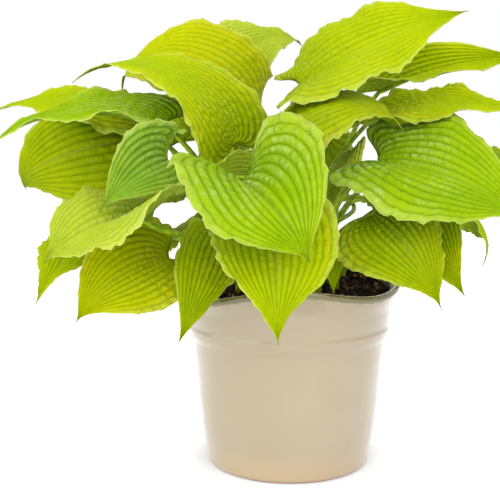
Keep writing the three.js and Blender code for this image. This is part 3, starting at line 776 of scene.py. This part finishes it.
# Fades: from where to where, and the shares at these two places.
SUNNY_EDGE = (0.4, 1.0, 0.0, 0.5)
GROOVES_AT_TIP = (0.5, 1.0, 1.0, 0.35)
GROOVE_SHADE = (0.0, 0.75, 0.28, 0.0)
GROOVE_SHADE_LINE = (0.0, 0.2, 0.3, 0.0)
BASE_SHADE = (0.0, 0.45, 0.3, 0.0)
NEAR_BASE = (0.25, 0.65, 1.0, 0.15)
MIDRIB_LINE = (0.004, 0.012, 0.3, 0.0)
WAXY_EDGE = (0.8, 1.0, 0.0, 0.15)
PALE_RIM = (0.98, 1.0, 0.0, 0.6)
WRINKLED, BLOOM_AND_SHEEN_CLOUDY, SHEEN_ON_RIB_TOPS = (0.3, 0.7), (0.35, 0.75), (0.2, 1.0)
BLOTCHED, SPECKLED = (0.45, 0.7), (0.45, 0.75)
LEAF_ROUGH = (0.3, 0.7, 0.4, 0.55)
PATCH_SHARE, BLOTCH_SHARE, SPECKLE_SHARE, UNDER_SHARE = 0.5, 0.2, 0.12, 0.5
WRINKLES_ALONG, WRINKLES_ACROSS, WRINKLE_DEPTH = 34, 0.8, 0.0016
SKIN_BUMP = (0.00018, 0.6)
LIGHT_THROUGH = 0.3


def leaf_finish(tone):
    *colours, bloom_and_sheen_share = TONES[tone]
    rib_colour, shade_and_blotch_colour, sunny_colour = [colour(*levels) for levels in colours]
    finish = Finish("leaf_" + tone, Specular_IOR_Level=0.03)
    rib = finish.attribute("rib")
    margin = finish.attribute("margin")
    vein = finish.attribute("vein")
    crest = abs((rib * math.pi).sine())

    # Sunny patches, painted shade in the grooves that fades towards the tip, and painted shade at
    # the base.
    patch = finish.between(finish.grain(PATCHES), *CLOUDY)
    sunny = patch * PATCH_SHARE + finish.between(margin, *SUNNY_EDGE)
    body = finish.mix(sunny, rib_colour, sunny_colour)
    fade = finish.between(vein, *GROOVES_AT_TIP)
    shade = finish.between(crest, *GROOVE_SHADE)
    groove_shade = (shade + finish.between(crest, *GROOVE_SHADE_LINE)) * fade
    body = finish.mix(groove_shade + finish.between(vein, *BASE_SHADE), body, shade_and_blotch_colour)

    # Wrinkles across the ribs near the base, and the pale bloom that they break up, which on the
    # rib tops is partly a painted sheen.
    near_base = finish.between(vein, *NEAR_BASE)
    sockets = {0: vein * WRINKLES_ALONG, 1: rib * WRINKLES_ACROSS}
    across_veins = finish.node("ShaderNodeCombineXYZ", {}, sockets)
    wrinkle = finish.between(finish.grain(1.0, 2.0, across_veins), *WRINKLED)
    bloom_and_sheen = finish.between(finish.grain(BLOOM_AND_SHEEN_PATCHES, 4.0), *BLOOM_AND_SHEEN_CLOUDY) * near_base * wrinkle
    body = finish.mix(bloom_and_sheen * finish.between(crest, *SHEEN_ON_RIB_TOPS) * bloom_and_sheen_share, body, BLOOM_AND_SHEEN)

    # A pale midrib, darker blotches and speckles, a pale rim and a pale underside.
    body = finish.mix(finish.between(margin, *MIDRIB_LINE), body, MARGIN)
    blotch = finish.between(finish.grain(BLOTCHES, 4.0), *BLOTCHED)
    body = finish.mix(blotch * BLOTCH_SHARE, body, shade_and_blotch_colour)
    speckle = finish.grain(SPECKLES, 2.0)
    body = finish.mix(finish.between(speckle, *SPECKLED) * SPECKLE_SHARE, body, shade_and_blotch_colour)
    waxy = finish.between(margin, *WAXY_EDGE)
    body = finish.mix(waxy + finish.between(margin, *PALE_RIM), body, MARGIN)
    body = finish.mix(finish.attribute("under") * UNDER_SHARE, body, UNDERSIDE)

    finish.set("Base Color", body)
    finish.set("Roughness", finish.between(speckle, *LEAF_ROUGH))
    skin = finish.grain(SKIN)
    wrinkled = finish.bump(wrinkle * near_base * crest, WRINKLE_DEPTH)
    finish.set("Normal", finish.bump(skin, *SKIN_BUMP, wrinkled))
    finish.mix_in(finish.node("ShaderNodeBsdfTranslucent", {}, {"Color": body}), LIGHT_THROUGH)
    return finish


leaf_finishes = {tone: leaf_finish(tone) for tone in TONES}
print("nodes in a leaf finish:", len(leaf_finishes["bright"].tree.nodes))

# %% [markdown]
# ## Stalk finish
# The real stalks are smooth, a little glossier than the blades, and streaked with two greens.
# They are thick, so no light comes through and one shader does.

# %% Stalk finish
STALK_GREENS = colour(104, 138, 8), colour(150, 174, 26)
STREAKS, STALK_SKIN = 160.0, 700.0
STALK_BUMP = (0.0002, 0.4)


def stalk_finish():
    finish = Finish("stalk", Roughness=0.5, Specular_IOR_Level=0.15)
    streak = finish.grain(STREAKS)
    finish.set("Base Color", finish.mix(finish.between(streak, *CLOUDY), *STALK_GREENS))
    finish.set("Normal", finish.bump(finish.grain(STALK_SKIN, 2.0), *STALK_BUMP))
    return finish


stalks = stalk_finish()
print("nodes in the stalk finish:", len(stalks.tree.nodes))

# %% [markdown]
# ## All the leaves
# A ripple can carry the edge of a blade a millimetre or two past the solids' box. Cutting it off
# there would press its two faces together. So the last bit before each side of the box is
# squeezed until the blade fits, which keeps them apart.

# %% Leaves
SQUEEZE_ZONE = 0.012


def ease_into_box(points):
    for axis in range(3):
        for limit, inward in ((cad_box[0][axis], 1), (cad_box[1][axis], -1)):
            room = inward * (points[:, axis] - limit)
            beyond = max(0.0, -room.min())
            eased = (room + beyond) * SQUEEZE_ZONE / (SQUEEZE_ZONE + beyond)
            points[:, axis] = limit + inward * np.where(room < SQUEEZE_ZONE, eased, room)
    return points


def add_leaf(leaf, seed):
    """A blade and its stalk as one piece, with a finish for each."""
    points, faces, values = blade_mesh(leaf, seed)
    stalk_points, stalk_faces = stalk_mesh(leaf, seed)
    rest = np.zeros(len(stalk_points))
    values = {label: np.concatenate([numbers, rest]) for label, numbers in values.items()}
    finish_of = [0] * len(faces) + [1] * len(stalk_faces)
    faces = faces + [[i + len(points) for i in face] for face in stalk_faces]
    points = ease_into_box(np.concatenate([points, stalk_points]))
    finishes = [leaf_finishes[leaf.tone], stalks]
    slot, node = "leaf_" + leaf.tone, "leaf_" + leaf.name
    add_piece(leaf.name, points, faces, finishes, node, values, finish_of)


for place_in_table, leaf in enumerate(LEAVES):
    add_leaf(leaf, place_in_table)
print("leaves placed:", len(LEAVES))

# %% [markdown]
# ## The pot
# It was thrown on a wheel and its soft lip was pinched into three waves, so it is a turned form
# whose top edge rises and falls with the angle. A Screw modifier could turn a profile, but not
# wave its lip, so the profile is worked out for each angle and the rings are joined.

# %% Pot profile
POT_OUTSIDE = [  # radius and height, from the foot up
    (0.0865, 0.0), (0.090, 0.003), (0.0935, 0.020), (0.098, 0.052),
    (0.1025, 0.092), (0.1068, 0.136), (0.1083, 0.143), (0.1115, 0.150),
    (0.1127, 0.155), (0.1123, 0.161), (0.1139, 0.171), (0.116, 0.182),
]
WALL_SHOULDER, WALL_MIDDLE, WALL_FOOT = (0.1065, 0.186), (0.100, 0.120), (0.084, 0.009)
HIGH_SIDE = math.radians(60)
LIP_RADIUS, LIP_HEIGHT = 0.120, 0.212
LIP_TILT = 0.009
LIP_PINCHES = 3
LIP_WAVE, LIP_WAVE_TURN = 0.009, math.radians(33)
LIP_FLARE, LIP_FLARE_TURN = 0.005, math.radians(20)
LIP_THICK = 0.006
LIP_CROWN = 0.0028
LIP_SIDE = 0.0035
LIP_UNDER, LIP_UNDERCUT = 0.0065, 0.0006
LIP_STEPS, OUTSIDE_STEPS, INSIDE_STEPS = 9, 6, 8


def lip(angle):
    """The lip's outer radius and its height at an angle."""
    radius = LIP_RADIUS + LIP_FLARE * np.cos(LIP_PINCHES * (angle + LIP_FLARE_TURN))
    height = LIP_HEIGHT + LIP_TILT * np.cos(angle - HIGH_SIDE)
    return radius, height - LIP_WAVE * np.cos(LIP_PINCHES * (angle + LIP_WAVE_TURN))


def smooth_line(points, steps):
    """A curve that passes through the points, with a number of steps from each to the next."""
    points = np.asarray(points, dtype=float)
    before, after = 2 * points[:1] - points[1:2], 2 * points[-1:] - points[-2:-1]
    padded = np.concatenate([before, points, after])
    line = []
    for a, b, c, d in zip(padded, padded[1:], padded[2:], padded[3:]):
        square, cube = 2 * a - 5 * b + 4 * c - d, 3 * b - a - 3 * c + d
        for t in np.arange(steps) / steps:
            line.append(0.5 * (2 * b + (c - a) * t + square * t**2 + cube * t**3))
    return np.array([*line, points[-1]])


def pot_profile(angle):
    """The pot's section at one angle: up the outside, over the lip and down to the floor."""
    radius, height = lip(angle)
    under_lip = (radius - LIP_UNDERCUT, height - LIP_UNDER)
    outside = [*POT_OUTSIDE[1:], under_lip, (radius, height - LIP_SIDE)]
    turns = np.linspace(0, np.pi, LIP_STEPS)[1:-1]
    across = radius - LIP_THICK / 2 + (LIP_THICK / 2) * np.cos(turns)
    over = np.stack([across, height - LIP_CROWN + LIP_CROWN * np.sin(turns)], -1)
    inside = [(radius - LIP_THICK, height - LIP_SIDE), WALL_SHOULDER, WALL_MIDDLE]
    lines = [smooth_line(outside, OUTSIDE_STEPS), over, smooth_line(inside, INSIDE_STEPS)]
    return np.concatenate([*lines, [WALL_FOOT]])


print("height of the lip:", [round(float(lip(a)[1]), 3) for a in full_turn(12)])

# %% [markdown]
# ## Marks of the wheel
# A potter's fingers leave a faint spiral in the wall, and a ripple of the radius gives it. Each
# point also keeps how far below the lip it lies, for the olive band there. Inside the pot that
# number grows faster, so the band is narrower.

# %% Pot mesh
POT_SIDES = 240
MARK_DEPTH, MARK_PITCH, MARK_SWAY = 0.00022, 0.0085, 2
MARKS_MIDDLE, MARKS_SPREAD = 0.1, 0.09
MARKED_LEVELS = len(POT_OUTSIDE) * OUTSIDE_STEPS
INSIDE_LEVELS = 18
INSIDE_PACE = 2.5
FAR_BELOW = 0.2


def pot_mesh():
    """Points, faces, and how far below the lip each point lies."""
    turns = full_turn(POT_SIDES)
    profiles = np.array([pot_profile(turn) for turn in turns])
    radius, height = profiles[:, :, 0].T, profiles[:, :, 1].T
    phase = 2 * np.pi * height / MARK_PITCH + MARK_SWAY * np.sin(turns)
    spread = np.exp(-(((height - MARKS_MIDDLE) / MARKS_SPREAD) ** 2))
    radius[:MARKED_LEVELS] += (MARK_DEPTH * np.sin(phase) * spread)[:MARKED_LEVELS]
    foot_radius, foot_height = POT_OUTSIDE[0]
    radius = np.vstack([np.full(POT_SIDES, foot_radius), radius])
    height = np.vstack([np.full(POT_SIDES, foot_height), height])
    below_lip = lip(turns)[1] - height
    below_lip[-INSIDE_LEVELS:] *= INSIDE_PACE
    middles = [[0, 0, foot_height], [0, 0, WALL_FOOT[1]]]
    points = np.concatenate([ring(radius, turns, height).reshape(-1, 3), middles])
    values = {"below_lip": np.append(below_lip, [FAR_BELOW, FAR_BELOW])}
    return points, tube_faces(len(height), POT_SIDES, flip=True), values


pot_points, pot_faces, pot_values = pot_mesh()
print("pot faces:", len(pot_faces))

# %% [markdown]
# ## Glaze
# The real pot has a thick cream glaze, glossy as glass. It breaks to tan near the foot, pools in
# the groove over the band, runs olive along the lip and stops short of the foot, where the clay
# is bare. A paler line along the top of the lip is a painted highlight. A clear coat gives the
# depth of such a glaze. The colours are laid over one another by height, each with an edge that
# a fine grain makes ragged.

# %% Glaze finish
CREAM = colour(151, 137, 109), colour(156, 141, 115)
TAN, POOLED = colour(184, 156, 116), colour(148, 140, 106)
OLIVE, LIP_TOP_HIGHLIGHT = colour(92, 86, 28), colour(182, 170, 134)
BARE_CLAY = colour(158, 106, 60)
GLAZE_CLOUDS, LIP_GRAIN, FOOT_GRAIN, DIMPLES = 9.0, 120.0, 200.0, 70.0
GROOVE_HEIGHT = 0.161
# Fades by height or by the way below the lip, with the shares at their two ends.
TAN_FADE, TAN_DRIFT, TAN_SHARE = (0.012, 0.05, 1.0, 0.0), 0.02, 0.5
POOL_FADE = (0.0, 0.007, 0.25, 0.0)
OLIVE_FADE, OLIVE_SHARE = (0.0055, 0.0085, 1.0, 0.0), 0.9
LIP_HIGHLIGHT_FADE, LIP_HIGHLIGHT_SHARE = (0.0002, 0.0012, 1.0, 0.0), 0.4
BARE_FADE, BARE_RAGGED = (0.0012, 0.0030, 1.0, 0.0), 0.001
LIP_RAGGED = 0.004
GLAZE_ROUGH, CLAY_ROUGH = 0.14, 0.6
DIMPLE_BUMP = (0.0003, 0.2)


def glaze_finish():
    finish = Finish("glaze", Coat_Weight=0.9, Coat_Roughness=0.04, Specular_IOR_Level=0.4)
    place = finish.place()
    height = finish.node("ShaderNodeSeparateXYZ", {}, {0: place}, 2)
    cloud = finish.grain(GLAZE_CLOUDS, 3.0, place)
    body = finish.mix(finish.between(cloud, *CLOUDY), *CREAM)
    tan = finish.between(height + cloud * TAN_DRIFT, *TAN_FADE)
    body = finish.mix(tan * TAN_SHARE, body, TAN)
    pooled = finish.between(abs(height - GROOVE_HEIGHT), *POOL_FADE)
    body = finish.mix(pooled, body, POOLED)
    below = finish.attribute("below_lip")
    ragged = below + finish.grain(LIP_GRAIN, 3.0, place) * LIP_RAGGED - LIP_RAGGED / 2
    body = finish.mix(finish.between(ragged, *OLIVE_FADE) * OLIVE_SHARE, body, OLIVE)
    # A paler line along the top of the lip: a painted highlight.
    body = finish.mix(finish.between(ragged, *LIP_HIGHLIGHT_FADE) * LIP_HIGHLIGHT_SHARE, body, LIP_TOP_HIGHLIGHT)
    foot_edge = height + finish.grain(FOOT_GRAIN, 2.0, place) * BARE_RAGGED
    bare = finish.between(foot_edge, *BARE_FADE)
    finish.set("Base Color", finish.mix(bare, body, BARE_CLAY))
    finish.set("Roughness", bare * CLAY_ROUGH + GLAZE_ROUGH)
    finish.set("Normal", finish.bump(finish.grain(DIMPLES, 2.0, place), *DIMPLE_BUMP))
    return finish


add_piece("glazed_pot", pot_points, pot_faces, [glaze_finish()], "pot", pot_values)
print("pot placed, points:", len(pot_points))

# %% [markdown]
# ## The soil
# Potting soil is loose peat and bark that settles in a low mound. The mound is rings of points,
# roughened by noise. The edge of a displaced plane would not follow the inside of a pinched pot.

# %% Mound
SOIL_EDGE, SOIL_DEEP = 0.194, 0.165
SOIL_TILT = 0.005
SOIL_MOUND = 0.007
SOIL_GAP = 0.002
SOIL_SIDES, SOIL_RINGS = 150, 46
DEEP_SHARE = 0.93
WALL_INNER_TOP = 0.0025
LUMP_HEIGHT, LUMP_SCALE = 0.0022, 90
LUMP_LAYERS = (1.0, 2.2, 5)  # how rough, how much finer each is than the last, how many


def soil_height(angle, share):
    """The smooth mound's height at a share of the way from its middle to its rim."""
    return SOIL_EDGE + SOIL_TILT * np.cos(angle - HIGH_SIDE) + SOIL_MOUND * (1 - share**2)


def soil_radius(angle):
    """The soil's rim, a little inside the wall of the pot."""
    lip_radius, lip_height = lip(angle)
    wall_radius, wall_height = WALL_SHOULDER
    up = (soil_height(angle, 1) - wall_height) / (lip_height - WALL_INNER_TOP - wall_height)
    return wall_radius + up * (lip_radius - LIP_THICK - wall_radius) - SOIL_GAP


def soil_point(turn, share):
    """A point on the rough mound."""
    radius = float(soil_radius(turn)) * share
    x, y = radius * math.cos(turn), radius * math.sin(turn)
    place = (x * LUMP_SCALE, y * LUMP_SCALE, 0.0)
    lump = LUMP_HEIGHT * noise.fractal(place, *LUMP_LAYERS)
    return x, y, float(soil_height(turn, share)) + lump


def mound_mesh():
    turns, shares = full_turn(SOIL_SIDES), np.arange(1, SOIL_RINGS + 1) / SOIL_RINGS
    mound = [soil_point(turn, share) for share in shares for turn in turns]
    deep = ring(soil_radius(turns) * DEEP_SHARE, turns, SOIL_DEEP)
    middles = [(0, 0, soil_height(0, 0)), (0, 0, SOIL_DEEP)]
    return np.concatenate([mound, deep, middles]), tube_faces(SOIL_RINGS + 1, SOIL_SIDES)


mound_points, mound_faces = mound_mesh()
print("mound faces:", len(mound_faces))

# %% [markdown]
# ## Crumbs
# Crumbs of peat and bark lie all over the mound. A particle system could strew them, but they
# belong to the soil's own mesh. So one body with twenty faces is put down many times, stretched,
# dented and turned at random from one seed.


# %% Crumb form
def crumb_form():
    """Twelve corners at a distance of 1, and the twenty faces that point outwards."""
    golden = (1 + math.sqrt(5)) / 2
    pairs = [(s, t * golden) for s in (-1, 1) for t in (-1, 1)]
    corners = [(s, t, 0) for s, t in pairs]
    corners += [(0, s, t) for s, t in pairs]
    corners += [(t, 0, s) for s, t in pairs]
    corners = unit(np.array(corners, dtype=float))
    nearest = np.sort(np.linalg.norm(corners - corners[0], axis=1))[1]
    faces = []
    for i, j, k in itertools.combinations(range(12), 3):
        a, b, c = corners[[i, j, k]]
        if max(np.linalg.norm([a - b, b - c, c - a], axis=1)) < nearest * 1.01:
            outwards = np.dot(np.cross(b - a, c - a), a) > 0
            faces.append((i, j, k) if outwards else (i, k, j))
    return corners, faces


crumb_corners, crumb_faces = crumb_form()
print("faces of a crumb:", len(crumb_faces))

# %% Strewing the crumbs
CRUMBS = 1500
CRUMB_SEED = 7
CRUMB_RIM = 0.965
CRUMB_LEAST, CRUMB_EXTRA = 0.0012, 0.0022
CRUMB_SHORT, CRUMB_STRETCH = 0.6, 0.9
CRUMB_DENT = 0.25
CRUMB_LIFT = 0.3


def strew_crumbs():
    """The points of all the crumbs, and a tint for each point."""
    draw = np.random.default_rng(CRUMB_SEED)
    crumbs, tints = [], []
    for _ in range(CRUMBS):
        turn, share = draw.random() * 2 * np.pi, math.sqrt(draw.random()) * CRUMB_RIM
        size = CRUMB_LEAST + CRUMB_EXTRA * draw.random() ** 2
        stretch = size * (CRUMB_SHORT + CRUMB_STRETCH * draw.random(3))
        turned, _ = np.linalg.qr(draw.normal(size=(3, 3)))
        if np.linalg.det(turned) < 0:
            turned = -turned
        lump = crumb_corners * (1 + CRUMB_DENT * draw.normal(size=(12, 1))) * stretch
        x, y, z = soil_point(turn, share)
        crumbs.append(lump @ turned.T + [x, y, z + size * CRUMB_LIFT])
        tints.append(np.full(12, draw.random()))
    return np.concatenate(crumbs), np.concatenate(tints)


crumb_points, crumb_tints = strew_crumbs()
soil_faces = list(mound_faces)
for start in range(len(mound_points), len(mound_points) + len(crumb_points), 12):
    soil_faces += [tuple(start + i for i in face) for face in crumb_faces]
print("soil faces:", len(soil_faces))

# %% [markdown]
# ## Soil finish
# Wet peat is nearly black, and a few crumbs are dry bark, which is light brown. Each crumb has
# one tint of its own, so the dry ones stand out whole, and its faces stay flat, as if broken.

# %% Soil finish
WET_PEAT, DRY_PEAT = colour(22, 15, 12), colour(58, 40, 29)
DRY_BARK = colour(158, 120, 88)
SOIL_GRAIN, DRIER = 420.0, (0.35, 0.7)
BARK_TINTS, BARK_SHARE = (0.8, 0.98), 0.7
SOIL_BUMP = (0.0012, 0.8)


def soil_finish():
    finish = Finish("soil", Roughness=0.95, Specular_IOR_Level=0.2)
    fine = finish.grain(SOIL_GRAIN, 4.0)
    tint = finish.attribute("tint")
    body = finish.mix(finish.between(fine, *DRIER), WET_PEAT, DRY_PEAT)
    body = finish.mix(finish.between(tint, *BARK_TINTS) * BARK_SHARE, body, DRY_BARK)
    finish.set("Base Color", body)
    finish.set("Normal", finish.bump(fine, *SOIL_BUMP))
    return finish


soil = np.concatenate([mound_points, crumb_points])
tints = {"tint": np.concatenate([np.zeros(len(mound_points)), crumb_tints])}
add_piece("potting_soil", soil, soil_faces, [soil_finish()], "soil", tints, smooth=False)
print("soil placed, points:", len(soil))
